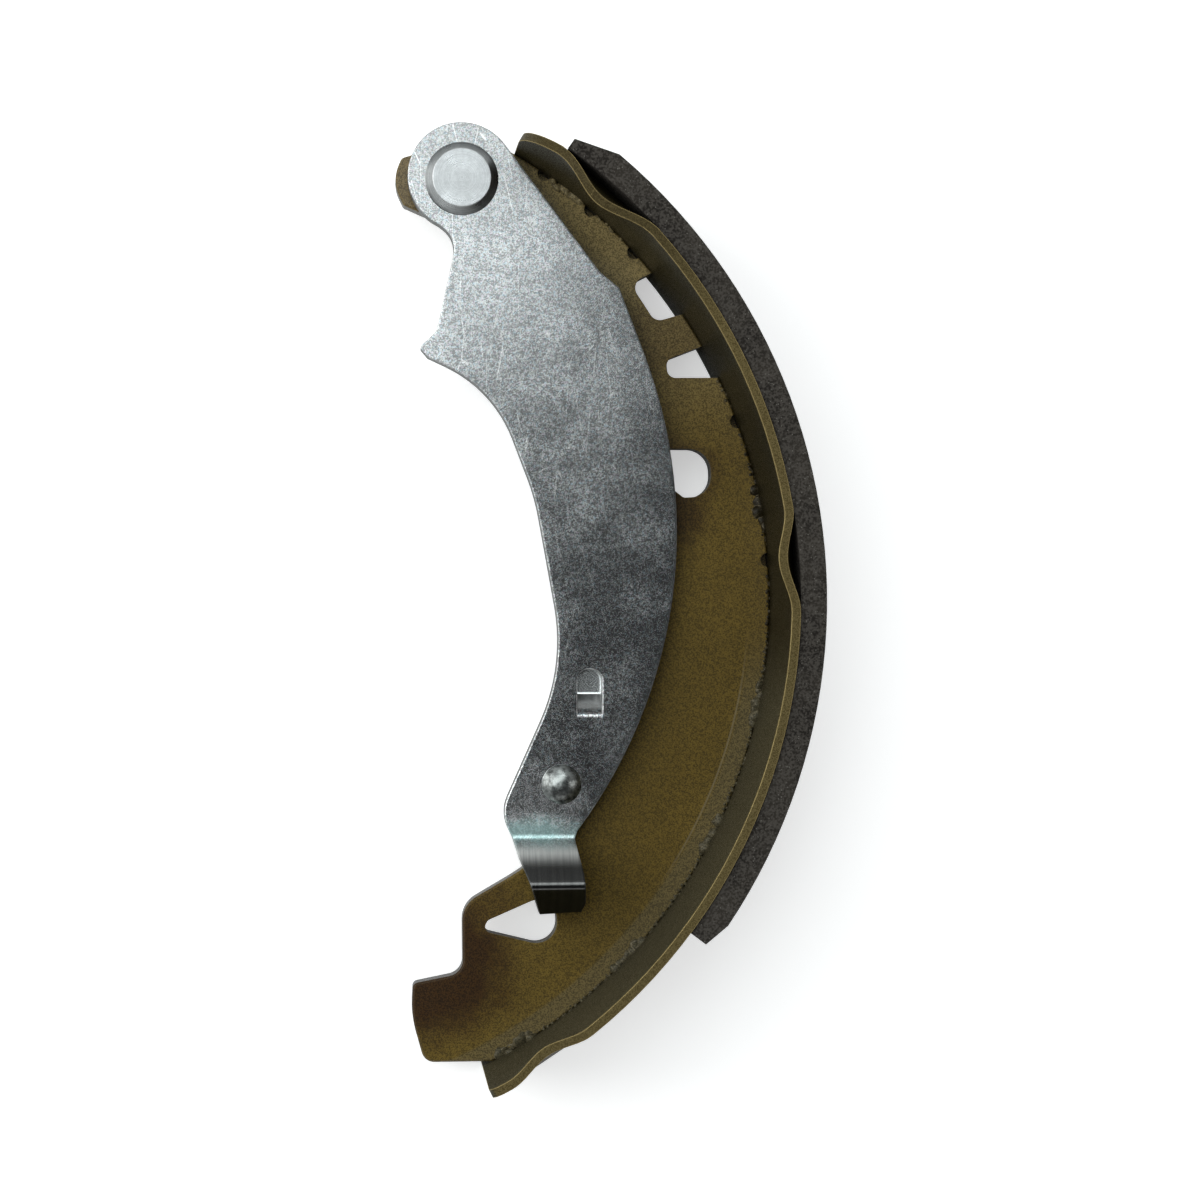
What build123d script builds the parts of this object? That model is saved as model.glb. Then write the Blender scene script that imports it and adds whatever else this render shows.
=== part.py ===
from build123d import *

import os
from math import cos, degrees, pi, radians, sin

os.makedirs("parts", exist_ok=True)

# Rear drum-brake shoe with its parking-brake lever, in millimetres.
# It lies on the edge of its rim that faces the drum's closed side, so +Z runs along the drum's axis
# towards the backing plate. Outlines are given by angle about that axis and depth below the rim.

# Drum, lining and rim
drum_radius = 101.5
shoe_width = 38.0
lining_thickness = 4.6
lining_inset = 0.5
lining_top_angle = 54.8
lining_bottom_angle = -37.0
top_bevel_angle = 4.5
top_bevel_drop = 2.7
bottom_bevel_angle = 2.8
bottom_bevel_drop = 1.3
bond_line = 0.1
rim_thickness = 1.6
rim_top_angle = 59.8
rim_bottom_angle = -63.8
rim_top_corner = 15.0
rim_corner = 2.5

# Web
web_underside = 5.5
web_thickness = 4.5
weld_gap = 0.05
web_edge_break = 0.3
foot_angle = -62.6
relief_radius = 1.3
relief_depth = 3.0

# Lever, its pin and what holds the pin
pivot_angle = 63.7
pivot_depth = 9.3
eye_radius = 9.8
eye_rise = 0.5
lever_thickness = 4.0
lever_gap = 0.2
pin_radius = 4.7
pin_clearance = 0.05
head_radius = 6.7
head_top_radius = 5.3
head_height = 1.7
washer_radius = 7.4
washer_thickness = 0.5
washer_bow = 0.5
washer_gap = 0.1
clip_radius = 7.8
clip_thickness = 1.2
groove_depth = 1.1
pin_tail = 1.2
pin_chamfer = 0.5

# Stop pin and lanced stop tab
stop_pin_offset = (3.2, 10.1)
stop_pin_radius = 2.3
stop_head_radius = 3.6
stop_head_height = 1.7
stop_pin_reach = 3.6
tab_width = 4.6
tab_length = 9.4
tab_drop = 3.0
tab_flat = 4.6
tab_end_rise = 12.1
stop_clearance = 0.4

# Folded hook at the lever's end
bend_angle = -39.35
bend_depth = 26.5
bend_width = 11.2
hook_rise = 7.6
hook_crest = 7.9
hook_length = 13.4
hook_end_rise = 2.0
hook_fold_radius = 1.0

rim_outer = drum_radius - lining_thickness - bond_line
rim_inner = rim_outer - rim_thickness
web_outer = rim_inner - weld_gap
web_top = web_underside + web_thickness
lever_bottom = web_top + lever_gap
lever_top = lever_bottom + lever_thickness


def polar(radius, angle):
    return (radius * cos(radians(angle)), radius * sin(radians(angle)))


def at(angle, depth):
    return polar(web_outer - depth, angle)


def shifted(point, dx, dy):
    return (point[0] + dx, point[1] + dy)


pivot = at(pivot_angle, pivot_depth)
eye = shifted(pivot, 0, eye_rise)
foot_corner = at(foot_angle, 0)

# The origin is under the middle of the part's box, on the surface that it lies on.
nose_reach = 12.2
nose_end = pivot[0] - nose_reach
drum_x = -(nose_end + drum_radius) / 2
drum_y = -(pivot[1] + eye_rise + eye_radius + rim_outer * sin(radians(rim_bottom_angle))) / 2


def level(height):
    return Plane(origin=(drum_x, drum_y, height))


def ring_sector(inner, outer, start, end):
    with BuildLine() as outline:
        CenterArc((0, 0), outer, start, end - start)
        Line(polar(outer, end), polar(inner, end))
        CenterArc((0, 0), inner, end, start - end)
        Line(polar(inner, start), polar(outer, start))
    make_face(outline.edges())


def rounded_polygon(corners):
    with BuildLine() as outline:
        FilletPolyline([point for point, _ in corners], radius=[radius for _, radius in corners], close=True)
    make_face(outline.edges())


# Nibs pressed into the rim's edge: angle, depth, half length along the rim, height down the wall
nibs = [(48.9, 3.0, 11.5, 9.0), (4.3, 2.1, 9.6, 7.4), (-56.6, 1.8, 8.5, 8.0)]


def along(angle):
    return (-sin(radians(angle)), cos(radians(angle)))


def wave(radius, depth, start, end):
    middle, span = (start + end) / 2, (end - start) / 2
    points = [
        polar(radius - depth * (1 + cos(pi * share)) / 2, middle + share * span) for share in (-1, -0.5, 0, 0.5, 1)
    ]
    return Spline(points, tangents=[along(start), along(end)])


def waved_sector(depth, start, end):
    with BuildLine() as outline:
        wave(rim_outer, depth, start, end)
        Line(polar(rim_outer, end), polar(rim_inner, end))
        wave(rim_inner, depth, start, end)
        Line(polar(rim_inner, start), polar(rim_outer, start))
    make_face(outline.edges())


with BuildPart() as rim:
    with BuildSketch(level(0)):
        ring_sector(rim_inner, rim_outer, rim_bottom_angle, rim_top_angle)
    extrude(amount=shoe_width)
    ends = rim.edges().filter_by(lambda edge: abs(edge.length - rim_thickness) < 0.01)
    fillet([ends.sort_by(Axis.Y)[-2:].sort_by(Axis.Z)[0]] + ends.sort_by(Axis.Y)[:2], rim_corner)
    for angle, depth, half_length, height in nibs:
        span = degrees(half_length / rim_outer)
        with BuildSketch(level(shoe_width - height)):
            ring_sector(rim_inner - 1, rim_outer + 1, angle - span, angle + span)
        extrude(amount=height, mode=Mode.SUBTRACT)
        with BuildSketch(level(shoe_width - height)):
            ring_sector(rim_inner, rim_outer, angle - span, angle + span)
        with BuildSketch(level(shoe_width)):
            waved_sector(depth, angle - span, angle + span)
        loft(ruled=True)
    # The upper corner is trimmed to a wide arc, across the end of the first nib.
    end_x, end_y = polar(rim_outer, rim_top_angle)
    end_plane = Plane(
        origin=(drum_x + end_x, drum_y + end_y, shoe_width),
        x_dir=(-along(rim_top_angle)[0], -along(rim_top_angle)[1], 0),
        z_dir=(-cos(radians(rim_top_angle)), -sin(radians(rim_top_angle)), 0),
    )
    with BuildSketch(end_plane):
        with Locations((rim_top_corner / 2, 0)):
            Rectangle(rim_top_corner + 2, 2 * rim_top_corner)
        with Locations((rim_top_corner, rim_top_corner), (rim_top_corner, -rim_top_corner)):
            Circle(rim_top_corner, mode=Mode.SUBTRACT)
    extrude(amount=rim_top_corner, both=True, mode=Mode.SUBTRACT)

rim.part.label = "rim"
export_step(rim.part, "parts/rim.step")

# Bonded lining, bevelled across both ends
lining_inner = drum_radius - lining_thickness

with BuildPart() as lining:
    with BuildSketch(level(lining_inset)):
        with BuildLine():
            outer = CenterArc(
                (0, 0),
                drum_radius,
                lining_bottom_angle + bottom_bevel_angle,
                lining_top_angle - top_bevel_angle - lining_bottom_angle - bottom_bevel_angle,
            )
            top_lip = polar(drum_radius - top_bevel_drop, lining_top_angle)
            bottom_lip = polar(drum_radius - bottom_bevel_drop, lining_bottom_angle)
            Line(outer @ 1, top_lip)
            Line(top_lip, polar(lining_inner, lining_top_angle))
            CenterArc((0, 0), lining_inner, lining_top_angle, lining_bottom_angle - lining_top_angle)
            Line(polar(lining_inner, lining_bottom_angle), bottom_lip)
            Line(bottom_lip, outer @ 0)
        make_face()
    extrude(amount=shoe_width - 2 * lining_inset)

lining.part.label = "lining"
export_step(lining.part, "parts/lining.step")

# Stamped web: each corner of the inner outline with its radius, from the nose down to the foot
web_tip = at(pivot_angle + 0.5, 0)
waist_top = at(14.3, 30.2)
waist_bottom = at(-20.7, 26.0)
web_corners = [
    (shifted(pivot, -0.89 * nose_reach, 0.35 * nose_reach), 1.2),
    (shifted(pivot, -1.04 * nose_reach, 0), 0.57 * nose_reach),
    (shifted(pivot, -0.86 * nose_reach, -0.36 * nose_reach), 1.0),
    (shifted(pivot, 0, -1.9 * pin_radius), 8.0),
    (shifted(pivot, 2.6, -16.7), 0.5),
    (shifted(pivot, 9.4, -16.9), 6.0),
    (shifted(pivot, 18.9, -23.0), 0.8),
    (shifted(pivot, 19.6, -31.8), 0.6),
    (shifted(pivot, 16.2, -32.4), 1.6),
    (shifted(pivot, 16.5, -37.2), 2.4),
    (shifted(pivot, 23.7, -40.9), 7.0),
    (waist_top, 40.0),
    (waist_bottom, 14.0),
    (at(-37.4, 22.2), 34.0),
    (at(-55.5, 27.5), 5.0),
    (at(-60.6, 16.8), 3.0),
    (at(-67.3, 19.2), 1.0),
    (at(-69.1, 13.8), 18.0),
    (at(-69.6, 5.0), 2.4),
]

# Windows: each corner by its distance from the window's place. The first two run out to the rim.
def window(place, corners):
    return [(shifted(place, dx, dy), radius) for dx, dy, radius in corners]


window_1 = window(at(37.0, 0), [(1.2, 5.3, 0), (-6.7, 1.3, 2.0), (-2.1, -5.7, 2.0), (5.5, -3.5, 0)])
window_2 = window(at(29.0, 0), [(4.8, 3.1, 0), (-7.3, -1.6, 1.6), (-7.0, -4.9, 1.6), (4.2, -4.8, 0)])
window_3 = window(
    at(16.5, 13.0),
    [(-6.9, 4.8, 1.8), (5.4, 4.8, 4.2), (5.5, -4.0, 3.9), (0.4, -4.2, 1.0), (-6.5, 1.1, 1.5)],
)
spring_window = window(
    at(-50.0, 18.0),
    [(-7.6, -1.4, 1.1), (-6.6, 0.5, 1.1), (5.6, 5.8, 3.4), (6.6, -4.9, 3.8)],
)
relief_angles = [55.8, 49.3, 42.6, 20.5, 4.6]

with BuildPart() as web:
    with BuildSketch(level(web_underside)):
        with BuildLine():
            path = [web_tip] + [point for point, _ in web_corners] + [foot_corner]
            FilletPolyline(path, radius=[radius for _, radius in web_corners])
            CenterArc((0, 0), web_outer, foot_angle, pivot_angle + 0.5 - foot_angle)
        make_face()
    extrude(amount=web_thickness)
    chamfer(web.faces().sort_by(Axis.Z)[-1].edges(), web_edge_break)
    with BuildSketch(level(web_underside)):
        for corners in (window_1, window_2, window_3, spring_window):
            rounded_polygon(corners)
        with Locations(pivot):
            Circle(pin_radius + pin_clearance)
    extrude(amount=web_thickness, mode=Mode.SUBTRACT)
    with BuildSketch(level(web_top)):
        with Locations([polar(web_outer, angle) for angle in relief_angles]):
            Circle(relief_radius)
    extrude(amount=-relief_depth, mode=Mode.SUBTRACT)

web.part.label = "web"
export_step(web.part, "parts/web.step")

# Parking-brake lever
bend_middle = at(bend_angle, bend_depth)
bend_left = shifted(bend_middle, -bend_width / 2, 0)
bend_right = shifted(bend_middle, bend_width / 2, 0)
waist_slope = (waist_top[0] - waist_bottom[0]) / (waist_top[1] - waist_bottom[1])
tab_side = waist_bottom[0] + tab_end_rise * waist_slope - stop_clearance
tab_hinge = (tab_side - tab_width / 2, waist_bottom[1] + tab_end_rise - tab_length)
stop_pin_place = shifted(bend_middle, *stop_pin_offset)

lever_inner_corners = [
    (shifted(pivot, -0.8, -10.9), 5.0),
    (shifted(pivot, -4.6, -27.9), 2.5),
    (shifted(pivot, -7.7, -30.8), 0.7),
    (shifted(pivot, -6.1, -32.6), 0.8),
    (shifted(pivot, 5.9, -38.1), 24.0),
    (shifted(pivot, 13.5, -58.0), 40.0),
    (at(-11.7, 36.8), 36.0),
    (shifted(bend_middle, -bend_width / 2 - 2.3, 4.95), 7.0),
]

# Side view of the hook, from the flat of the lever to the tip: the tongue is folded up and over.
hook_plan = [
    shifted(bend_left, 0, 1.0),
    bend_left,
    shifted(bend_middle, -4.6, -3.4),
    shifted(bend_middle, -2.9, -7.6),
    shifted(bend_middle, -0.9, -hook_length),
    shifted(bend_middle, 6.6, -hook_length + 0.4),
    shifted(bend_middle, 7.3, -11.2),
    shifted(bend_middle, 6.9, -5.8),
    bend_right,
    shifted(bend_right, 0, 1.0),
]
hook_underside = [
    (-1.0, lever_bottom),
    (1.2, lever_bottom),
    (hook_crest, lever_bottom + hook_rise - 1.2),
    (hook_length, lever_bottom + hook_end_rise - 1.4),
]
hook_topside = [
    (hook_length + 2.4, lever_top + hook_end_rise - 2.2),
    (hook_crest, lever_top + hook_rise),
    (-0.4, lever_top),
    (-1.0, lever_top),
]

side_view = Plane(origin=(drum_x, drum_y + bend_middle[1], 0), x_dir=(0, -1, 0), z_dir=(-1, 0, 0))

with BuildPart() as hook:
    with BuildSketch(side_view):
        with BuildLine():
            FilletPolyline(
                hook_underside + hook_topside,
                radius=[0, hook_fold_radius, hook_fold_radius, 0, 0, 1.4 * hook_fold_radius, 1.5, 0],
                close=True,
            )
        make_face()
    extrude(amount=2 * drum_radius, both=True)
    with BuildSketch(level(0)):
        with BuildLine():
            Polyline(hook_plan, close=True)
        make_face()
    extrude(amount=shoe_width, mode=Mode.INTERSECT)

# The tab is sheared on three sides and pushed down, still joined at its lower end.
tab_middle = shifted(tab_hinge, 0, tab_length / 2)
tab_profile = [
    (0, lever_bottom),
    (tab_length - tab_flat, lever_bottom - tab_drop),
    (tab_length, lever_bottom - tab_drop),
    (tab_length, lever_top - tab_drop),
    (tab_length - tab_flat, lever_top - tab_drop),
    (0.9, lever_top),
    (0, lever_top),
]
tab_view = Plane(origin=(drum_x + tab_hinge[0], drum_y + tab_hinge[1], 0), x_dir=(0, 1, 0), z_dir=(1, 0, 0))

with BuildPart() as tab_column:
    with BuildSketch(level(0)):
        with Locations(tab_middle):
            Rectangle(tab_width, tab_length)
    extrude(amount=shoe_width)
    fillet(tab_column.edges().filter_by(Axis.Z).sort_by(Axis.Y)[-2:], tab_width / 2 - 0.05)

with BuildPart() as tab:
    with BuildSketch(tab_view):
        with BuildLine():
            FilletPolyline(tab_profile, radius=[0, 0.5, 0, 0, 0.5, 1.2, 0], close=True)
        make_face()
    extrude(amount=tab_width, both=True)
    add(tab_column.part, mode=Mode.INTERSECT)

with BuildPart() as lever:
    with BuildSketch(level(lever_bottom)):
        with BuildLine():
            waist = at(31.9, 10.7)
            outer_edge = ThreePointArc(shifted(bend_right, 0.5, 1.6), at(11.3, 16.2), waist)
            shoulder = TangentArc(waist, at(40.6, 7.1), tangent=outer_edge % 1)
            path = [shoulder @ 1, at(43.6, 7.8), shifted(eye, 7.7, 6.06), eye, shifted(eye, -6.7, -7.0)]
            path += [point for point, _ in lever_inner_corners]
            path += [bend_left, bend_right, outer_edge @ 0]
            radii = [2.0, 0, 0, 0] + [radius for _, radius in lever_inner_corners] + [0, 0]
            FilletPolyline(path, radius=radii)
        make_face()
        with Locations(eye):
            Circle(eye_radius)
        with Locations(pivot):
            Circle(pin_radius + pin_clearance, mode=Mode.SUBTRACT)
        with Locations(stop_pin_place):
            Circle(stop_pin_radius, mode=Mode.SUBTRACT)
    extrude(amount=lever_thickness)
    add(tab_column.part, mode=Mode.SUBTRACT)
    add(tab.part)
    add(hook.part)

lever.part.label = "lever"
export_step(lever.part, "parts/lever.step")

# Headed pivot pin, turned in one piece
washer_room = washer_gap + washer_bow + washer_thickness
clip_top = web_underside - washer_room - washer_gap
clip_bottom = clip_top - clip_thickness
groove_radius = pin_radius - groove_depth
pin_end = clip_bottom - pin_tail
pin_plane = Plane(origin=(drum_x + pivot[0], drum_y + pivot[1], 0), x_dir=(1, 0, 0), z_dir=(0, -1, 0))

with BuildPart() as pivot_pin:
    with BuildSketch(pin_plane):
        with BuildLine():
            Polyline(
                (0, pin_end),
                (pin_radius - pin_chamfer, pin_end),
                (pin_radius, pin_end + pin_chamfer),
                (pin_radius, clip_bottom),
                (groove_radius, clip_bottom),
                (groove_radius, clip_top),
                (pin_radius, clip_top),
                (pin_radius, lever_top),
                (head_radius, lever_top),
                (head_top_radius, lever_top + head_height),
                (0, lever_top + head_height),
                close=True,
            )
        make_face()
    revolve(axis=Axis((drum_x + pivot[0], drum_y + pivot[1], 0), (0, 0, 1)))

pivot_pin.part.label = "pivot_pin"
export_step(pivot_pin.part, "parts/pivot_pin.step")

# Bowed spring washer: a curved strip cut to a ring
washer_bottom = clip_top + washer_gap
bow_radius = (washer_radius**2 + washer_bow**2) / (2 * washer_bow)
bow_centre = washer_bottom - bow_radius + washer_bow

with BuildPart() as spring_washer:
    with BuildSketch(pin_plane):
        with Locations((0, bow_centre)):
            Circle(bow_radius + washer_thickness)
            Circle(bow_radius, mode=Mode.SUBTRACT)
    extrude(amount=washer_radius, both=True)
    with BuildSketch(level(0)):
        with Locations(pivot):
            Circle(washer_radius)
            Circle(pin_radius + 2 * pin_clearance, mode=Mode.SUBTRACT)
    extrude(amount=web_underside, mode=Mode.INTERSECT)

spring_washer.part.label = "spring_washer"
export_step(spring_washer.part, "parts/spring_washer.step")

# Horseshoe clip pushed into the groove from the nose side
clip_gap = 2 * groove_radius - 0.6
with BuildPart() as retaining_clip:
    with BuildSketch(level(clip_bottom)):
        with Locations(pivot):
            Circle(clip_radius)
            Circle(groove_radius + pin_clearance, mode=Mode.SUBTRACT)
            with Locations((-clip_radius / 2, 0)):
                Rectangle(clip_radius, clip_gap, mode=Mode.SUBTRACT)
    extrude(amount=clip_thickness)

retaining_clip.part.label = "retaining_clip"
export_step(retaining_clip.part, "parts/retaining_clip.step")

# Dome-headed stop pin, riveted through the lever
stop_plane = Plane(
    origin=(drum_x + stop_pin_place[0], drum_y + stop_pin_place[1], 0), x_dir=(1, 0, 0), z_dir=(0, -1, 0)
)

with BuildPart() as stop_pin:
    with BuildSketch(stop_plane):
        with BuildLine():
            dome_start = (stop_head_radius, lever_top + 0.3)
            dome_top = (0, lever_top + stop_head_height)
            dome_rise = stop_head_height - 0.3
            dome_radius = (stop_head_radius**2 + dome_rise**2) / (2 * dome_rise)
            RadiusArc(dome_top, dome_start, dome_radius)
            Polyline(
                dome_start,
                (stop_head_radius, lever_top),
                (stop_pin_radius, lever_top),
                (stop_pin_radius, lever_bottom - stop_pin_reach),
                (0, lever_bottom - stop_pin_reach),
                dome_top,
            )
        make_face()
    revolve(axis=Axis((drum_x + stop_pin_place[0], drum_y + stop_pin_place[1], 0), (0, 0, 1)))

stop_pin.part.label = "stop_pin"
export_step(stop_pin.part, "parts/stop_pin.step")
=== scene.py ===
# %% [markdown]
# # A brake shoe, dressed for its photograph
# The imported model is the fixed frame: every piece of steel and friction material is already in its
# place, in metres. This notebook adds what a solid model leaves out, which is the rough weld at the
# seam, the lacquer, the zinc, the friction compound, the light and the camera.

# %% Load the frame
import math

import bmesh
import bpy
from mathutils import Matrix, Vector


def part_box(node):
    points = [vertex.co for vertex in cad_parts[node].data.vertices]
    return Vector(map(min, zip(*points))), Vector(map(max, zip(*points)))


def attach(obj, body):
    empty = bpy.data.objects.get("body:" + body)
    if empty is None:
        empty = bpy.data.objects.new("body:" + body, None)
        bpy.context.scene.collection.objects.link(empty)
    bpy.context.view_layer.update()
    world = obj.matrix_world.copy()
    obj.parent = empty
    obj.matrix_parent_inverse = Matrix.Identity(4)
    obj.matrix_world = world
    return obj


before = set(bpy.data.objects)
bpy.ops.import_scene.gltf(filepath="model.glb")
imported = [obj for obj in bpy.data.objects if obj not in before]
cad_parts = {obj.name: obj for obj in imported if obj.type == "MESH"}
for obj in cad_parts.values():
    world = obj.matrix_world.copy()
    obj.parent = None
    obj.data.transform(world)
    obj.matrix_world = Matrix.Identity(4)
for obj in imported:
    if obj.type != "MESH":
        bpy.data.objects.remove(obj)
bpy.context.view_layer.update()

# %% [markdown]
# ## Finding a place on the shoe
# Everything on a brake shoe is laid out round the drum's axis, so a place is easiest to give as a
# distance from that axis and an angle. The model is centred on its box, so the axis isn't at the
# origin. It can be worked out from the lining, whose outer face is an arc of known radius that
# reaches the far side of the box, and from a small known offset along Y.

# %% Places by radius and angle
MM = 0.001
MM_PER_METRE = 1000.0
DRUM_RADIUS = 101.5 * MM
DRUM_AXIS_Y = -0.2044 * MM

lining_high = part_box("lining")[1]
drum_axis = Vector((lining_high.x - DRUM_RADIUS, DRUM_AXIS_Y, 0))


def around(radius, angle, height=0.0):
    turn = math.radians(angle)
    return drum_axis + Vector((radius * math.cos(turn), radius * math.sin(turn), height))


print("drum axis:", drum_axis)

# %% [markdown]
# ## Building node trees in a few words
# A shader is a tree of nodes, and each node takes several lines to make, set and wire by hand. This
# helper makes a node, sets its options, and fills each input with either a value or another node's
# output, so that a tree reads from top to bottom like a recipe.


# %% A helper for any node
def add(tree, kind, inputs=None, **options):
    node = tree.nodes.new(kind)
    for name, value in options.items():
        setattr(node, name, value)
    for name, value in (inputs or {}).items():
        if isinstance(value, bpy.types.NodeSocket):
            tree.links.new(value, node.inputs[name])
        else:
            node.inputs[name].default_value = value
    return node


print("ready to add nodes")

# %% [markdown]
# ## Sums on a surface
# A mask is a number from 0 to 1 that changes over the surface, and it is shaped by sums. Each sum is
# a node too. Written out in full, the node's settings would hide the sum, so these helpers carry the
# names of what they do. The last one measures how far a place is from an upright axis, which is how
# a ring or a turned face is found.


# %% Helpers for sums
def math_node(tree, operation, first, second=0.0, clamp=False):
    inputs = {0: first, 1: second}
    return add(tree, "ShaderNodeMath", inputs, operation=operation, use_clamp=clamp).outputs[0]


def times(tree, first, second):
    return math_node(tree, "MULTIPLY", first, second)


def larger(tree, first, second):
    return math_node(tree, "MAXIMUM", first, second)


def opposite(tree, mask):
    return math_node(tree, "SUBTRACT", 1.0, mask)


def vector_node(tree, operation, first, second=None):
    inputs = {0: first} if second is None else {0: first, 1: second}
    outputs = add(tree, "ShaderNodeVectorMath", inputs, operation=operation).outputs
    return outputs["Value" if operation in ("DISTANCE", "LENGTH", "DOT_PRODUCT") else "Vector"]


def scaled(tree, vector, factor):
    return add(tree, "ShaderNodeVectorMath", {0: vector, 3: factor}, operation="SCALE").outputs[0]


def parts(tree, vector):
    return add(tree, "ShaderNodeSeparateXYZ", {0: vector}).outputs


def from_axis(tree, place, axis):
    flat = vector_node(tree, "MULTIPLY", place, (1.0, 1.0, 0.0))
    return vector_node(tree, "DISTANCE", flat, (axis.x, axis.y, 0.0))


print("ready for sums")

# %% [markdown]
# ## Masks, noise and colours
# A real finish has no hard borders, so every mask fades in smoothly between two values. Noise makes
# the unevenness, and a mask blends two colours. Which way a face points is a mask as well: it tells
# a flat face of a stamped plate from its sheared side without a list of faces.


# %% Helpers for masks and colours
def remap(tree, value, low, high, out_low=0.0, out_high=1.0):
    inputs = {
        "Value": value, "From Min": low, "From Max": high, "To Min": out_low, "To Max": out_high,
    }
    fade = add(tree, "ShaderNodeMapRange", inputs, clamp=True, interpolation_type="SMOOTHSTEP")
    return fade.outputs["Result"]


def noise(tree, place, scale, detail, roughness=0.5):
    inputs = {"Vector": place, "Scale": scale, "Detail": detail, "Roughness": roughness}
    return add(tree, "ShaderNodeTexNoise", inputs).outputs["Fac"]


def rgb(red, green, blue):
    return (red, green, blue, 1.0)


def dimmed(colour, share):
    return rgb(*(share * part for part in colour[:3]))


def blend(tree, factor, first, second, mode="MIX"):
    mixer = add(
        tree, "ShaderNodeMix", {0: factor, 6: first, 7: second},
        data_type="RGBA", blend_type=mode, clamp_factor=True,
    )
    return mixer.outputs[2]


def facing_up(tree):
    return parts(tree, add(tree, "ShaderNodeNewGeometry").outputs["True Normal"])["Z"]


print("ready for masks and colours")

# %% [markdown]
# ## Effects that several finishes share
# Grain, bright edges and patches turn up in more than one finish. Each could be wired anew in every
# material, but then a change would have to be made in all of them. So each is a node group with
# named inputs, which is built once and placed in each material with its own values. Their sizes are
# given in millimetres, because that is how a maker thinks of them, while places stay in metres.

# %% Helpers for groups
FLOAT, VECTOR = "NodeSocketFloat", "NodeSocketVector"


def start_group(name, inputs, outputs):
    tree = bpy.data.node_groups.new(name, "ShaderNodeTree")
    for label, kind, value in inputs:
        socket = tree.interface.new_socket(label, in_out="INPUT", socket_type=kind)
        if value is not None:
            socket.default_value = value
    for label, kind in outputs:
        tree.interface.new_socket(label, in_out="OUTPUT", socket_type=kind)
    return tree, tree.nodes.new("NodeGroupInput").outputs, tree.nodes.new("NodeGroupOutput").inputs


def use(tree, group, **inputs):
    return add(tree, "ShaderNodeGroup", inputs, node_tree=group).outputs


print("ready to start and use groups")

# %% [markdown]
# ## Fine grain
# Stamped steel is never quite smooth: under the lacquer and the zinc it has a fine orange-peel
# grain. A photograph or a scan could give it, but noise at two sizes makes the same impression at
# any distance, and it needs no picture.

# %% Grain group
NOISE_MIDDLE = 0.5
COARSE_SCALE = 0.34
MASK_GAIN = 8.0

grain, asked, result = start_group(
    "surface grain",
    [("Vector", VECTOR, None), ("Size", FLOAT, 0.5), ("Contrast", FLOAT, 0.5), ("Coarse", FLOAT, 0.6)],
    [("Mask", FLOAT), ("Height", FLOAT)],
)
scale = math_node(grain, "DIVIDE", MM_PER_METRE, asked["Size"])
fine = noise(grain, asked["Vector"], scale, detail=2.0, roughness=0.6)
coarse = noise(grain, asked["Vector"], times(grain, scale, COARSE_SCALE), detail=1.0)
both = math_node(grain, "ADD", fine, times(grain, coarse, asked["Coarse"]))
level = math_node(grain, "DIVIDE", both, math_node(grain, "ADD", asked["Coarse"], 1.0))
centred = math_node(grain, "SUBTRACT", level, NOISE_MIDDLE)
swing = times(grain, times(grain, centred, asked["Contrast"]), MASK_GAIN)
grain.links.new(math_node(grain, "ADD", swing, NOISE_MIDDLE, clamp=True), result["Mask"])
grain.links.new(level, result["Height"])
print("group:", grain.name)

# %% [markdown]
# ## Edges with a painted highlight
# Light runs along the edges of a pressed part as a thin line, because the shears leave them slightly
# rounded. Every edge could be rounded in the mesh, at the price of many faces. Instead, the Bevel
# node gives the normal that a rounded edge would have. Where that differs from the flat face's own
# normal there is an edge, and the difference is the mask. The finishes use the mask to paint that
# line of light into the colour, as a painted highlight.

# %% Edge group
NORMALS_APART = (0.02, 0.25)

edges, asked, result = start_group(
    "edge line", [("Width", FLOAT, 0.4)], [("Mask", FLOAT), ("Normal", VECTOR)]
)
width = times(edges, asked["Width"], MM)
rounded = add(edges, "ShaderNodeBevel", {"Radius": width}, samples=6).outputs["Normal"]
own = add(edges, "ShaderNodeNewGeometry").outputs["True Normal"]
away = opposite(edges, vector_node(edges, "DOT_PRODUCT", rounded, own))
edges.links.new(remap(edges, away, *NORMALS_APART), result["Mask"])
edges.links.new(rounded, result["Normal"])
print("group:", edges.name)

# %% [markdown]
# ## A patch round a place
# Lacquer gathers round a hole, and zinc takes a tint beside a bend. Each could be painted by hand on
# a picture that wraps the piece. But each is only a soft, ragged patch, so one group makes them all:
# the distance from a centre, pushed about by noise, and faded out over a chosen width.

# %% Patch group
RAGGED_SCALE = 260.0
PUSH_BOTH_WAYS = 2.0

patch, asked, result = start_group(
    "ragged patch",
    [
        ("Vector", VECTOR, None), ("Centre", VECTOR, None), ("Stretch", VECTOR, (1.0, 1.0, 1.0)),
        ("Radius", FLOAT, 5.0), ("Fade", FLOAT, 4.0), ("Ragged", FLOAT, 2.0),
    ],
    [("Mask", FLOAT)],
)
offset = vector_node(patch, "SUBTRACT", asked["Vector"], asked["Centre"])
reach = vector_node(patch, "LENGTH", vector_node(patch, "MULTIPLY", offset, asked["Stretch"]))
wander = noise(patch, asked["Vector"], RAGGED_SCALE, detail=3.0)
push = times(patch, math_node(patch, "SUBTRACT", wander, NOISE_MIDDLE), asked["Ragged"])
in_mm = times(patch, reach, MM_PER_METRE)
distance = math_node(patch, "ADD", in_mm, times(patch, push, PUSH_BOTH_WAYS))
outer = math_node(patch, "ADD", asked["Radius"], asked["Fade"])
patch.links.new(remap(patch, distance, asked["Radius"], outer, 1.0, 0.0), result["Mask"])
print("group:", patch.name)

# %% [markdown]
# ## Scratches
# Loose levers knock against each other in their box, and the plating keeps the marks. Drawn one by
# one, they would take long and look planned. A Voronoi pattern's cell borders, stretched a long way
# in one direction, are long straight hairlines, and noise hides most of them, so that only short
# pieces are left.

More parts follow.
